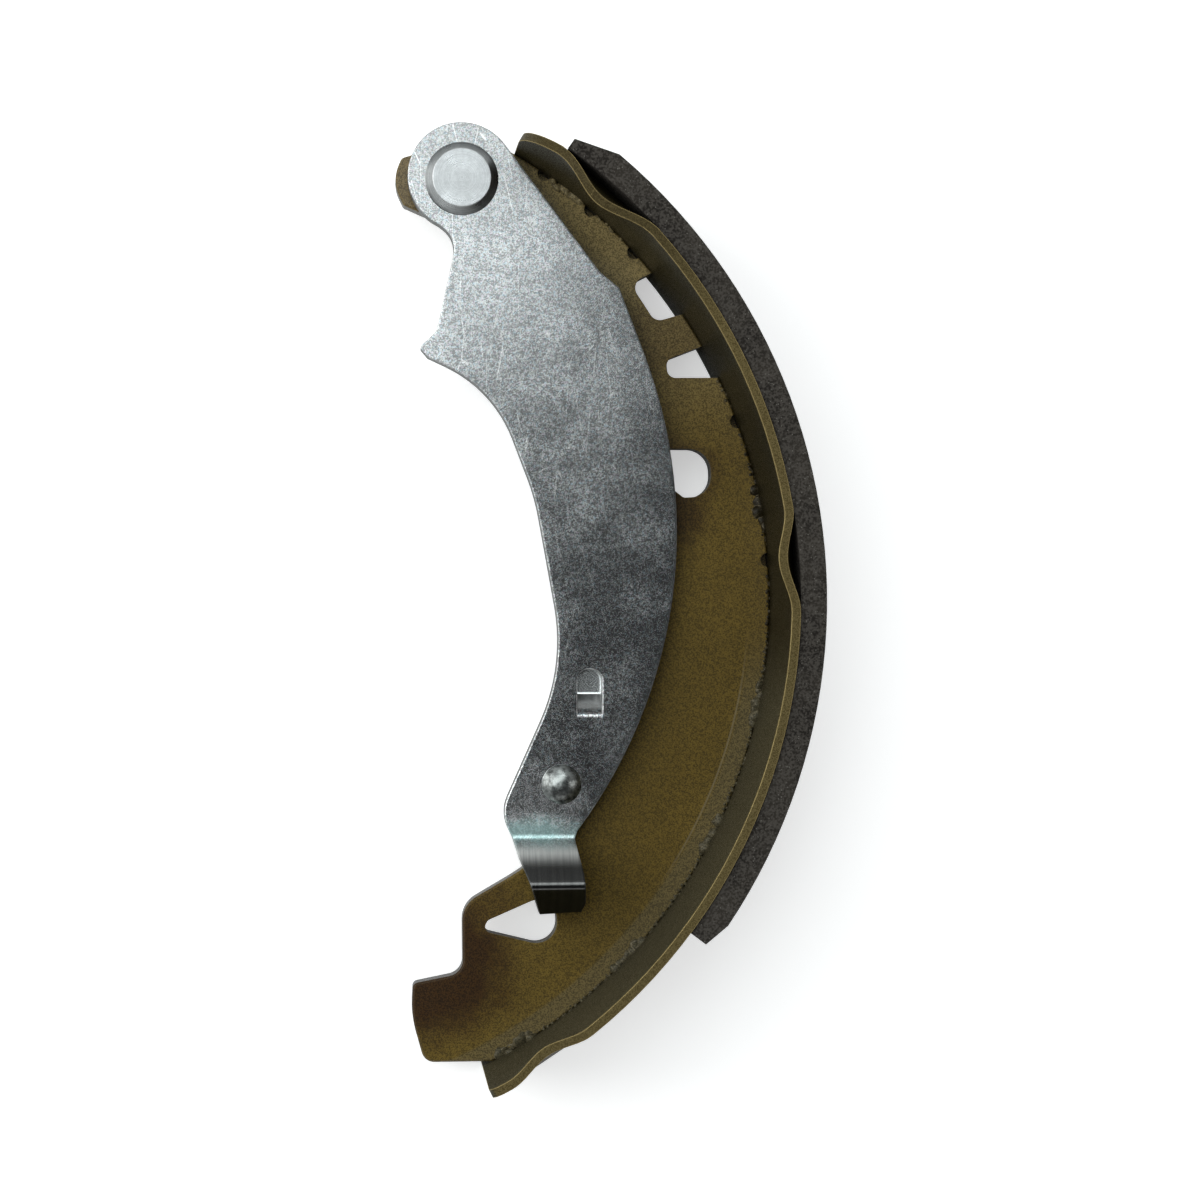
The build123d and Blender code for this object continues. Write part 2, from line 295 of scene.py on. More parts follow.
# %% Scratch group
HAIR_STRETCH = (1.0, 0.16, 1.0)
HAIR_WIDTH = 0.014
SHOWN_SCALE = 420.0
SHOWN_LIMIT, SHOWN_DROP, SHOWN_FADE = 0.72, 0.3, 0.08

scratches, asked, result = start_group(
    "hairline scratches",
    [("Vector", VECTOR, None), ("Turn", VECTOR, None), ("Spacing", FLOAT, 5.0), ("Amount", FLOAT, 0.4)],
    [("Mask", FLOAT)],
)
turned = add(scratches, "ShaderNodeMapping", {
    "Vector": asked["Vector"], "Rotation": asked["Turn"], "Scale": HAIR_STRETCH,
}).outputs[0]
density = math_node(scratches, "DIVIDE", MM_PER_METRE, asked["Spacing"])
borders = add(
    scratches, "ShaderNodeTexVoronoi", {"Vector": turned, "Scale": density},
    feature="DISTANCE_TO_EDGE",
).outputs["Distance"]
thin = remap(scratches, borders, 0.0, HAIR_WIDTH, 1.0, 0.0)
drop = times(scratches, asked["Amount"], SHOWN_DROP)
limit = math_node(scratches, "SUBTRACT", SHOWN_LIMIT, drop)
shown = remap(
    scratches, noise(scratches, turned, SHOWN_SCALE, detail=2.0),
    limit, math_node(scratches, "ADD", limit, SHOWN_FADE),
)
scratches.links.new(times(scratches, thin, shown), result["Mask"])
print("group:", scratches.name)

# %% [markdown]
# ## Starting a material
# Each finish below is one Principled shader. Values that are the same all over are set on the shader
# itself, and only what changes over the surface comes from nodes, which all read Object coordinates.
# Fine relief is a bump, because modelling it would take millions of faces.


# %% Material helpers
def start_material(name, **settings):
    material = bpy.data.materials.new(name)
    material.use_nodes = True
    tree = material.node_tree
    shader = tree.nodes["Principled BSDF"].inputs
    for socket, value in settings.items():
        shader[socket.replace("_", " ")].default_value = value
    return material, tree, shader, add(tree, "ShaderNodeTexCoord").outputs["Object"]


def bump(tree, shader, height, strength, distance, normal=None):
    inputs = {"Height": height, "Strength": strength, "Distance": distance * MM}
    if normal is not None:
        inputs["Normal"] = normal
    tree.links.new(add(tree, "ShaderNodeBump", inputs).outputs[0], shader["Normal"])


print("ready for finishes")

# %% [markdown]
# ## The coined ring
# The press squeezes the web flat in a narrow ring beside the rim, about the drum's axis, and its
# inner border is a fine scribed line. The ring could be a step in the solid, but it is only a few
# hundredths of a millimetre deep, so a mask by distance from the axis shows it as well.

# %% Coined ring group
SCRIBED_WIDTH = (0.05, 0.28)

ring, asked, result = start_group(
    "ring about the drum axis",
    [("Vector", VECTOR, None), ("Inner", FLOAT, 91.2), ("Fade", FLOAT, 0.6)],
    [("Band", FLOAT), ("Line", FLOAT)],
)
span = times(ring, from_axis(ring, asked["Vector"], drum_axis), MM_PER_METRE)
beyond = math_node(ring, "SUBTRACT", span, asked["Inner"])
ring.links.new(remap(ring, beyond, 0.0, asked["Fade"]), result["Band"])
near = math_node(ring, "ABSOLUTE", beyond)
ring.links.new(remap(ring, near, *SCRIBED_WIDTH, 1.0, 0.0), result["Line"])
print("group:", ring.name)

# %% [markdown]
# ## Where the ring shows
# The ring is worn to a dusty grey, but only on the lower half of the web, and its scribed line fades
# out before the foot. Both limits are places along the shoe, so two fades along Y set them.

# %% Coined ring on the web
COIN_INNER, COIN_FADE = 91.2, 0.7
LOWER_HALF = (-0.022, -0.004)
LINE_END = (-0.055, -0.042)
GREYED_SHARE, SCRIBED_SHARE = 0.4, 0.5


def ring_marks(tree, place, along):
    coined = use(tree, ring, Vector=place, Inner=COIN_INNER, Fade=COIN_FADE)
    lower = remap(tree, along, *LOWER_HALF, 1.0, 0.0)
    greyed = times(tree, times(tree, coined["Band"], lower), GREYED_SHARE)
    scribed = times(tree, times(tree, coined["Line"], lower), remap(tree, along, *LINE_END))
    return greyed, times(tree, scribed, SCRIBED_SHARE)


print("coined ring from", COIN_INNER, "mm")

# %% [markdown]
# ## Where the lacquer gathered
# The web and the rim are dipped and hung up to dry, and the lacquer runs to the holes and the foot,
# where it is thicker, darker and redder. Noise could scatter such pools anywhere, but these are few
# and their places matter, so they are given one by one, each a ragged patch of its own size and
# depth.

# %% Pools of lacquer
WEB_FACE = 10.0 * MM
POOL_RAGGED = 4.0


def pool(radius, angle, size, fade, depth, stretch=(1.0, 1.0, 1.0)):
    centre = around(radius * MM, angle, WEB_FACE)
    return {"Centre": centre, "Stretch": stretch, "Radius": size, "Fade": fade}, depth


POOLS = [
    pool(77.0, 12.8, 4.5, 7.0, 0.7),
    pool(82.0, 16.0, 4.0, 5.0, 0.6),
    pool(90.0, 33.0, 5.0, 6.0, 0.35),
    pool(73.0, -65.5, 9.0, 10.0, 0.95, (0.8, 1.0, 1.0)),
    pool(68.5, -53.0, 4.0, 6.0, 0.5),
    pool(84.0, 72.0, 8.0, 7.0, 0.5),
]


def gathered(tree, place):
    deepest = 0.0
    for shape, depth in POOLS:
        mask = use(tree, patch, Vector=place, Ragged=POOL_RAGGED, **shape)["Mask"]
        deepest = larger(tree, times(tree, mask, depth), deepest)
    return deepest


print("pools of lacquer:", len(POOLS))

# %% [markdown]
# ## The rim's upper edge
# The lacquer lies thin over the rough cut of the rim's edge, so it looks like old gold beside the
# dark wall. A second material on that face could show it. A mask by height does it without splitting
# the piece, and takes in the two trimmed corners at the top end, which also face up.

# %% Rim's upper edge
TOP_EDGE = (0.0368, 0.0378)
TURNS_UP = (0.05, 0.2)
TRIMMED_CORNER = (0.074, 0.076)


def upper_edge(tree, where, facing):
    corner = times(tree, remap(tree, facing, *TURNS_UP), remap(tree, where["Y"], *TRIMMED_CORNER))
    return larger(tree, remap(tree, where["Z"], *TOP_EDGE), corner)


print("gold edge above z", TOP_EDGE[0])

# %% [markdown]
# ## The lacquer's colours
# A thin gold-olive lacquer keeps the steel from rusting in its box. It could be one flat colour, but
# its life is in its unevenness, so broad clouds darken it a little. The web's upper end is painted
# paler and more golden, as painted light. The gold of the rim's edge glitters with the grain, and is
# painted darker near the top, as painted shade.

# %% Lacquer tones
PAINTED_LIGHT_GOLD, DUSTY_GREY, SHEARED_SIDE = (
    rgb(0.32, 0.255, 0.12), rgb(0.1, 0.088, 0.05), rgb(0.012, 0.009, 0.004)
)
GOLD_LOW, GOLD_HIGH = rgb(0.075, 0.055, 0.02), rgb(0.155, 0.12, 0.05)
CLOUD_SCALE, CLOUD_RANGE, CLOUD_SHARE = 38.0, (0.38, 0.66), 0.84
# The upper end's paler gold is painted light.
LIT_UPPER_END, PAINTED_LIGHT_SHARE = (0.024, 0.062), 0.45
SHADED_END, SHADED_SHARE = (0.045, 0.065), 0.55


def lacquer_tone(tree, where, base, rim_edge):
    clouds = noise(tree, where["place"], CLOUD_SCALE, detail=3.0, roughness=0.55)
    tone = blend(tree, remap(tree, clouds, *CLOUD_RANGE), base, dimmed(base, CLOUD_SHARE))
    # Painted light: the web's upper end turns a paler gold.
    lit_upper = remap(tree, where["Y"], *LIT_UPPER_END)
    return blend(tree, times(tree, lit_upper, PAINTED_LIGHT_SHARE * (1.0 - rim_edge)), tone, PAINTED_LIGHT_GOLD)


def edge_gold(tree, where, specks):
    gold = blend(tree, specks, GOLD_LOW, GOLD_HIGH)
    return scaled(tree, gold, remap(tree, where["Y"], *SHADED_END, 1.0, SHADED_SHARE))


print("lacquer tones are ready")

# %% [markdown]
# ## Protective lacquer
# One function mixes the lacquer, because the web, the rim and the weld wear it in different
# strengths, and three copies would drift apart. The rim's base colour is painted far darker than the
# web's, as painted shade on the rim's wall. It lays the greyed ring, the pools, the glitter of the
# grain and the dark sheared sides over the tone, and last paints a highlight along the edges, in the
# same pale tone as the scribed line. A clear coat gives the wet gloss, and it is a little thinner
# over the pools.

# %% Lacquer
LACQUER_IOR, COAT_ROUGHNESS = 1.45, 0.16
MOST_GRAIN, GLITTER, GRAIN_ROUGHNESS = (0.1, 0.9), (0.66, 1.62), (0.55, 0.32)
SIDEWAYS = (0.2, 0.5)
EDGE_LIGHT, RIM_EDGE_LIGHT = 0.5, 0.4
POOL_COAT, POOL_SHEEN = 0.7, rgb(0.05, 0.05, 0.05)
SHEEN, RIM_SHEEN_LOSS = 0.2, 0.17
# Tones of the painted edge highlight, which the scribed line shares.
PALE_HIGHLIGHT_AND_SCRIBE, GOLD_EDGE_HIGHLIGHT = rgb(0.24, 0.2, 0.12), rgb(0.6, 0.46, 0.2)


def lacquer(name, base, deep, coat, shine, rim_edge=0.0, cut_edge=0.0, highlight_and_scribe_tone=PALE_HIGHLIGHT_AND_SCRIBE):
    material, tree, shader, place = start_material(
        name, Coat_Roughness=COAT_ROUGHNESS, Coat_IOR=LACQUER_IOR, IOR=LACQUER_IOR,
        Specular_IOR_Level=shine,
    )
    axes = parts(tree, place)
    where = {"place": place, "Y": axes["Y"], "Z": axes["Z"]}
    facing = facing_up(tree)
    specks = use(tree, grain, Vector=place, Size=0.22, Contrast=0.8, Coarse=0.1)
    line = use(tree, edges, Width=0.35)
    pools = gathered(tree, place)
    greyed, scribed = ring_marks(tree, place, where["Y"])

    tone = lacquer_tone(tree, where, base, rim_edge)
    tone = blend(tree, greyed, tone, DUSTY_GREY)
    tone = blend(tree, pools, tone, deep)
    tone = scaled(tree, tone, remap(tree, specks["Mask"], *MOST_GRAIN, *GLITTER))
    side = remap(tree, math_node(tree, "ABSOLUTE", facing), *SIDEWAYS, cut_edge, 0.0)
    tone = blend(tree, side, tone, SHEARED_SIDE)
    upper = times(tree, upper_edge(tree, where, facing), rim_edge)
    tone = blend(tree, upper, tone, edge_gold(tree, where, specks["Mask"]))
    # Painted highlight along the edges, in the same tone as the scribed line.
    lit = times(tree, line["Mask"], EDGE_LIGHT + RIM_EDGE_LIGHT * rim_edge)
    tone = blend(tree, larger(tree, lit, scribed), tone, highlight_and_scribe_tone)
    tree.links.new(tone, shader["Base Color"])

    rough = remap(tree, specks["Mask"], *MOST_GRAIN, *GRAIN_ROUGHNESS)
    tree.links.new(rough, shader["Roughness"])
    coat_weight = remap(tree, pools, 0.0, 1.0, coat, POOL_COAT * coat)
    tree.links.new(coat_weight, shader["Coat Weight"])
    sheen = remap(tree, where["Y"], *SHADED_END, SHEEN, SHEEN - RIM_SHEEN_LOSS * rim_edge)
    tree.links.new(blend(tree, pools, sheen, POOL_SHEEN), shader["Metallic"])
    bump(tree, shader, specks["Height"], strength=0.45, distance=0.12, normal=line["Normal"])
    return material


web_lacquer = lacquer(
    "olive lacquer on the web", rgb(0.115, 0.076, 0.0145), rgb(0.026, 0.0105, 0.002),
    coat=0.5, shine=0.2, cut_edge=0.75,
)
# The rim's base colour is painted far darker than the web's, as painted shade on the rim's wall.
rim_lacquer = lacquer(
    "olive lacquer on the rim", rgb(0.0125, 0.01, 0.0035), rgb(0.01, 0.0065, 0.0025),
    coat=0.02, shine=0.06, rim_edge=0.9, highlight_and_scribe_tone=GOLD_EDGE_HIGHLIGHT,
)
weld_lacquer = lacquer(
    "lacquer over the weld", rgb(0.016, 0.012, 0.005), rgb(0.01, 0.006, 0.003),
    coat=0.1, shine=0.15,
)
print("materials:", web_lacquer.name, rim_lacquer.name, weld_lacquer.name)

# %% [markdown]
# ## Friction compound
# The lining is moulded from resin, fibre and mineral powder. It is matt, nearly black, and full of
# pale flecks smaller than a grain of sand. Noise alone would give soft blots, so the flecks are
# Voronoi cells, with only the rare bright ones kept.

# %% Lining material
RESIN_SCALE, RESIN_RANGE = 120.0, (0.35, 0.65)
RESIN_DARK, RESIN_LIGHT = rgb(0.014, 0.012, 0.01), rgb(0.03, 0.026, 0.021)
DUST_GREY, DUST_SHARE, DUST_ROUGHNESS = rgb(0.068, 0.061, 0.052), 0.7, (0.95, 0.75)
FLECK_SCALE, RAREST, FLECK_EDGE = 3600.0, (0.9, 0.99), (0.25, 0.5)
FLECK_PALE, FLECK_SHARE = rgb(0.15, 0.142, 0.125), 0.8
CLOUD_RELIEF = 0.6

compound, tree, shader, place = start_material(
    "moulded friction compound", IOR=1.4, Specular_IOR_Level=0.22
)
dust = use(tree, grain, Vector=place, Size=0.4, Contrast=0.9, Coarse=0.4)
flecks = add(tree, "ShaderNodeTexVoronoi", {
    "Vector": place, "Scale": FLECK_SCALE, "Randomness": 1.0,
}).outputs
chance = add(tree, "ShaderNodeSeparateColor", {0: flecks["Color"]}).outputs[0]
spot = remap(tree, flecks["Distance"], *FLECK_EDGE, 1.0, 0.0)
pale = times(tree, remap(tree, chance, *RAREST), spot)
cloud = noise(tree, place, RESIN_SCALE, detail=4.0)
tone = blend(tree, remap(tree, cloud, *RESIN_RANGE), RESIN_DARK, RESIN_LIGHT)
tone = blend(tree, times(tree, dust["Mask"], DUST_SHARE), tone, DUST_GREY)
tone = blend(tree, times(tree, pale, FLECK_SHARE), tone, FLECK_PALE)
tree.links.new(tone, shader["Base Color"])
tree.links.new(remap(tree, dust["Mask"], 0.0, 1.0, *DUST_ROUGHNESS), shader["Roughness"])
relief = math_node(tree, "ADD", dust["Height"], times(tree, cloud, CLOUD_RELIEF))
bump(tree, shader, relief, strength=0.7, distance=0.25)
print("material:", compound.name)

# %% [markdown]
# ## Zinc plate
# Barrelled zinc is a fine mosaic of crystals that each throw light their own way, so the lever
# glitters from near white to dark grey. A thin passivate film over it tints it blue and pink. A
# mirror with a flat colour would look like chrome, so the grain group sets the crystals' tones,
# finer noise sets their tint, and broad noise makes some areas duller than others. Towards the
# lever's upper end the dark crystals are painted fainter, as painted light, and near the eye the
# light crystals are less bright.

# %% Zinc tone and roughness
CRYSTAL_LIGHT, CRYSTAL_EYE, CRYSTAL_DARK = (
    rgb(0.6, 0.62, 0.63), rgb(0.47, 0.485, 0.49), rgb(0.19, 0.19, 0.19)
)
ZINC_LIT_END, ZINC_LIT_SHARE, EYE_END = (0.0, 0.06), 0.75, (0.062, 0.08)
FILM_SCALE, FILM_MIDDLE = 1900.0, rgb(0.98, 0.98, 0.91)
FILM_STOPS = (0.36, rgb(0.86, 0.95, 1.0)), (0.64, rgb(1.0, 0.93, 0.98))
AREA_SCALE, AREA_RANGE = 95.0, (0.35, 0.65)
AREA_TONE, AREA_ROUGHNESS = (0.9, 1.1), (0.2, 0.24)

zinc_plate, tree, shader, place = start_material("mottled zinc plate", Metallic=1.0, IOR=1.8)
where = parts(tree, place)
crystal = use(tree, grain, Vector=place, Size=0.26, Contrast=1.0, Coarse=0.35)
# Painted light: the dark crystals fade towards the upper end.
lit_mosaic = times(tree, crystal["Mask"], remap(tree, where["Y"], *ZINC_LIT_END, 1.0, ZINC_LIT_SHARE))
lightest = blend(tree, remap(tree, where["Y"], *EYE_END), CRYSTAL_LIGHT, CRYSTAL_EYE)
tone = blend(tree, lit_mosaic, lightest, CRYSTAL_DARK)
film_noise = noise(tree, place, FILM_SCALE, detail=1.0)
film = add(tree, "ShaderNodeValToRGB", {"Fac": film_noise})
for stop, (position, colour) in zip(film.color_ramp.elements, FILM_STOPS):
    stop.position, stop.color = position, colour
film.color_ramp.elements.new(NOISE_MIDDLE).color = FILM_MIDDLE
tone = blend(tree, 1.0, tone, film.outputs["Color"], "MULTIPLY")
area = noise(tree, place, AREA_SCALE, detail=4.0, roughness=0.6)
tone = scaled(tree, tone, remap(tree, area, *AREA_RANGE, *AREA_TONE))
rough = remap(tree, area, *AREA_RANGE, *AREA_ROUGHNESS)
print("colour and roughness of", zinc_plate.name)

# %% [markdown]
# ## Marks, cut sides and edge highlights on the lever
# The scratches run at three slants, because the levers knocked against each other every way, and the
# same group makes all three. The blanking die left the sides torn and dull. A second material could
# show them, but the way a face points tells them apart by itself: the flat faces point up or down,
# and the sides don't. The edges between them are painted bright in the scratches' tone, as a painted
# highlight, and are less metallic, so they scatter light more than they mirror it.

# %% Zinc scratches, edges and sides
SLANTS = ((-0.75, 3.6, 0.7), (-1.2, 4.6, 0.6), (0.5, 5.6, 0.5))
MARK_SHARE, EDGE_HIGHLIGHT_SHARE, SIDE_SHARE = 0.6, 0.6, 0.7
WORN_AND_HIGHLIGHT_BRIGHT, TORN_SIDE = rgb(0.9, 0.9, 0.88), rgb(0.12, 0.12, 0.115)
POINTS_UP = (0.3, 0.6)
EDGE_FADE, EDGE_METALLIC = (0.0, 0.6), (1.0, 0.45)

marks = [
    use(tree, scratches, Vector=place, Turn=(0.0, 0.0, turn), Spacing=gap, Amount=amount)["Mask"]
    for turn, gap, amount in SLANTS
]
hairlines = larger(tree, larger(tree, marks[0], marks[1]), marks[2])
line = use(tree, edges, Width=0.4)
# Real scratches, and a painted highlight where the edge mask brightens the colour along the edges.
scratches_and_highlight = larger(
    tree, times(tree, hairlines, MARK_SHARE), times(tree, line["Mask"], EDGE_HIGHLIGHT_SHARE)
)
tone = blend(tree, scratches_and_highlight, tone, WORN_AND_HIGHLIGHT_BRIGHT)
facing = facing_up(tree)
flat_face = remap(tree, math_node(tree, "ABSOLUTE", facing), *POINTS_UP)
side = opposite(tree, flat_face)
tone = blend(tree, times(tree, side, SIDE_SHARE), tone, TORN_SIDE)
metallic = remap(tree, line["Mask"], *EDGE_FADE, *EDGE_METALLIC)
tree.links.new(metallic, shader["Metallic"])
print("scratches at", len(marks), "slants")

# %% [markdown]
# ## The folded hook and the stop tab
# The die that folds the cable hook irons the crystals smooth and leaves fine draw marks along the
# tongue, which are noise stretched in one direction. The hook is painted brighter near the fold and
# darker towards its end, as painted highlight and painted shade where it turns away from the light.
# The tab was pushed down through the plate, and the punch polished it.
# Both could be materials of their own, but the lever is one piece of steel and its finishes run into
# each other, so masks by place mix them.

# %% Zinc at the hook and the tab
BEND = around(68.65 * MM, -39.35, 0.0142)
HOOK_START = (BEND.y - 0.0022, BEND.y + 0.0002)
HOOK_SHADE, HOOK_PAINTED_LIGHT = (BEND.y - 0.0050, BEND.y - 0.0022), (0.36, 2.2)
DRAW_STRETCH, DRAW_SCALE = (1.0, 0.03, 0.03), 2200.0
IRONED_DARK, IRONED_LIGHT = rgb(0.2, 0.205, 0.2), rgb(0.5, 0.5, 0.48)
TAB_DEPTH, TAB_BRIGHT = (0.0130, 0.0136), rgb(0.9, 0.93, 0.92)

hook = remap(tree, where["Y"], *HOOK_START, 1.0, 0.0)
not_hook = opposite(tree, hook)
drawn = add(tree, "ShaderNodeMapping", {"Vector": place, "Scale": DRAW_STRETCH}).outputs[0]
draw_marks = noise(tree, drawn, DRAW_SCALE, detail=2.0)
ironed = blend(tree, draw_marks, IRONED_DARK, IRONED_LIGHT)
# Painted highlight near the fold and painted shade towards the hook's end.
ironed = scaled(tree, ironed, remap(tree, where["Y"], *HOOK_SHADE, *HOOK_PAINTED_LIGHT))
tone = blend(tree, hook, tone, ironed)
lowered = remap(tree, where["Z"], *TAB_DEPTH, 1.0, 0.0)
tab = times(tree, lowered, remap(tree, facing, *POINTS_UP))
tone = blend(tree, tab, tone, TAB_BRIGHT)
print("hook starts at y", round(BEND.y, 4))

# %% [markdown]
# ## Tints beside the fold
# Beside the fold the zinc is paler, and the film over it shows as a teal patch. Both could be painted
# by hand, but they have soft ragged borders, which is just what the patch group was made for.

# %% Zinc beside the fold
PALER_CENTRE, PALER_GAIN = BEND + Vector((-0.001, 0.006, 0.0)), 1.5
TEAL_CENTRE = BEND + Vector((-0.0015, 0.0014, 0.0))
TEAL, TEAL_SHARE = rgb(0.34, 0.55, 0.53), 0.8

paler = use(
    tree, patch, Vector=place, Centre=PALER_CENTRE,
    Stretch=(0.8, 1.0, 1.0), Radius=4.0, Fade=6.0, Ragged=3.0,
)["Mask"]
paler = times(tree, times(tree, paler, flat_face), not_hook)
tone = scaled(tree, tone, math_node(tree, "ADD", times(tree, paler, PALER_GAIN), 1.0))
teal_film = use(
    tree, patch, Vector=place, Centre=TEAL_CENTRE,
    Stretch=(0.22, 1.0, 1.0), Radius=0.4, Fade=4.0, Ragged=1.8,
)["Mask"]
tone = blend(tree, times(tree, teal_film, TEAL_SHARE), tone, TEAL)
tree.links.new(tone, shader["Base Color"])
print("colour finished on", zinc_plate.name)

# %% [markdown]
# ## How smooth the zinc is
# Roughness says as much about a metal as its colour does. The ironed hook is smoothest at its end,
# the teal film is duller, and the torn sides are rougher still. One even roughness would hide all of
# that. The crystals' relief is nearly gone on the hook and under the film, so the bump is turned down
# there.

# %% Zinc's polish
FOLD_END, FOLD_ROUGHNESS = (BEND.y - 0.006, BEND.y - 0.0015), (0.17, 0.5)
FILM_ROUGHNESS, SIDE_ROUGHNESS = rgb(0.36, 0.36, 0.36), rgb(0.5, 0.5, 0.5)
SMOOTHED_SHARE = 0.85

fold = remap(tree, where["Y"], *FOLD_END, *FOLD_ROUGHNESS)
polish = blend(tree, teal_film, blend(tree, hook, rough, fold), FILM_ROUGHNESS)
polish = blend(tree, times(tree, side, not_hook), polish, SIDE_ROUGHNESS)
tree.links.new(polish, shader["Roughness"])
smoothed = times(tree, larger(tree, hook, teal_film), SMOOTHED_SHARE)
relief = times(tree, crystal["Height"], opposite(tree, smoothed))
bump(tree, shader, relief, strength=0.2, distance=0.05, normal=line["Normal"])
print("polish set for", zinc_plate.name)

# %% [markdown]
# ## Turned and headed pins
# A pin's head is struck by a round die, which leaves faint rings about its own axis. The rings could
# be cut in the mesh, but they are far finer than a facet, so noise along the distance from the axis
# drives them. The stop pin's dome is the same metal with large dark blots painted on, as painted
# reflections of the patches of light that a curved face catches. Every pin gets a thin painted
# highlight along its edges. The clip and the washer are darker, because they are oiled spring steel.

# %% Pins
RIPPLE_RANGE, RIPPLE_SHARE = (0.35, 0.65), 0.55
PATCH_SCALE, PATCH_RANGE, PATCH_ROUGHNESS = 300.0, (0.3, 0.7), (0.24, 0.4)
PIN_EDGE_HIGHLIGHT_SHARE = 0.4


def middle(corners):
    return (corners[0] + corners[1]) / 2


def pin_metal(name, axis, ring_size, base, mottle_and_blots=0.3, mottle_and_blot_size=0.35, dark=0.5):
    material, tree, shader, place = start_material(name, Metallic=1.0, IOR=1.8)
    arm = times(tree, from_axis(tree, place, axis), MM_PER_METRE / ring_size)
    ripple = add(
        tree, "ShaderNodeTexNoise", {"W": arm, "Detail": 2.0}, noise_dimensions="1D"
    ).outputs["Fac"]
    cloud = use(tree, grain, Vector=place, Size=mottle_and_blot_size, Contrast=0.6)["Mask"]
    shade = dimmed(base, dark)
    tone = blend(tree, remap(tree, ripple, *RIPPLE_RANGE, 0.0, RIPPLE_SHARE), base, shade)
    # The mottle is the pivot pin's own; on the stop pin's dome the dark blots are painted reflections.
    tone = blend(tree, times(tree, cloud, mottle_and_blots), tone, shade)
    line = use(tree, edges, Width=0.3)
    # Painted highlight along the pin's edges.
    tone = blend(tree, times(tree, line["Mask"], PIN_EDGE_HIGHLIGHT_SHARE), tone, WORN_AND_HIGHLIGHT_BRIGHT)
    tree.links.new(tone, shader["Base Color"])
    patches = noise(tree, place, PATCH_SCALE, detail=3.0)
    rough = remap(tree, patches, *PATCH_RANGE, *PATCH_ROUGHNESS)
    tree.links.new(rough, shader["Roughness"])
    bump(tree, shader, ripple, strength=0.25, distance=0.05, normal=line["Normal"])
    return material


pivot = middle(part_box("pivot_pin"))
pivot_metal = pin_metal(
    "satin pivot pin", pivot, ring_size=0.55, base=rgb(0.61, 0.63, 0.63), mottle_and_blots=0.35
)
# The stop pin's dark blots are painted reflections.
stop_metal = pin_metal(
    "stop pin with painted reflection blots", middle(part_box("stop_pin")), ring_size=0.5, base=rgb(0.5, 0.53, 0.51),
    mottle_and_blots=1.0, mottle_and_blot_size=1.0, dark=0.15,
)
clip_metal = pin_metal("oiled spring steel", pivot, ring_size=0.8, base=rgb(0.3, 0.29, 0.28))
print("materials:", pivot_metal.name, stop_metal.name, clip_metal.name, "about", pivot)

# %% [markdown]
# ## Giving the steel its finishes
# The frame's own objects keep their shape, and only their material slots change. A table of names
# keeps the pairing in sight, and a loop fills the slots.

# %% Assign finishes
finishes = {
    "web": web_lacquer, "rim": rim_lacquer, "lining": compound, "lever": zinc_plate,
    "pivot_pin": pivot_metal, "stop_pin": stop_metal,
    "spring_washer": clip_metal, "retaining_clip": clip_metal,
}
for name, material in finishes.items():
    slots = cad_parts[name].data.materials
    slots.clear()
    slots.append(material)
    print(name, "wears", material.name)

# %% [markdown]
# ## The weld between web and rim
# The web is projection-welded into the rim. The hot metal leaves a ragged, lumpy line along the
# joint, with larger lumps at the weld spots. Modelling each lump by hand would be slow, and they all
# follow one rule: they sit on an arc about the drum's axis. So a Geometry Nodes tree makes them, and
# its named inputs say which arc, how close, how large and how ragged.

# %% Weld tree inputs
weld = bpy.data.node_groups.new("weld beads on an arc", "GeometryNodeTree")
weld.interface.new_socket("Geometry", in_out="OUTPUT", socket_type="NodeSocketGeometry")
weld_inputs = {
    "Radius": (FLOAT, 0.1), "Start": (FLOAT, 0.0), "Sweep": (FLOAT, 1.0),
    "Centre": (VECTOR, (0.0, 0.0, 0.0)), "Spacing": (FLOAT, 0.0007), "Bead": (FLOAT, 0.0005),
    "Flat": (FLOAT, 0.6), "Wander": (FLOAT, 0.0004), "Seed": ("NodeSocketInt", 1),
    "Finish": ("NodeSocketMaterial", None),
}
for label, (kind, value) in weld_inputs.items():
    socket = weld.interface.new_socket(label, in_out="INPUT", socket_type=kind)
    if value is not None:
        socket.default_value = value
asked = weld.nodes.new("NodeGroupInput").outputs
print("tree:", weld.name, "with inputs", list(weld_inputs))

# %% [markdown]
# ## Beads on an arc
# The tree draws the arc, sets points on it, and pushes them about by a random amount. On each point
# it puts a flattened ball of few faces, in a random size and turn. The balls could all be alike, but
# then the weld would look like a string of beads. Each random draw has its own fixed seed, so the
# weld comes out the same every time.

# %% Weld beads on their points
ARC_STEPS = 96
SHAKE = (1.0, 1.0, 0.35)
SMALLEST, LARGEST = 0.55, 1.35
TILT, FULL_TURN = 0.3, 6.28
SIZE_SEED, TURN_SEED = 7, 3


def random_vector(low, high, seed):
    inputs = {0: low, 1: high, "Seed": seed}
    return add(weld, "FunctionNodeRandomValue", inputs, data_type="FLOAT_VECTOR").outputs[0]


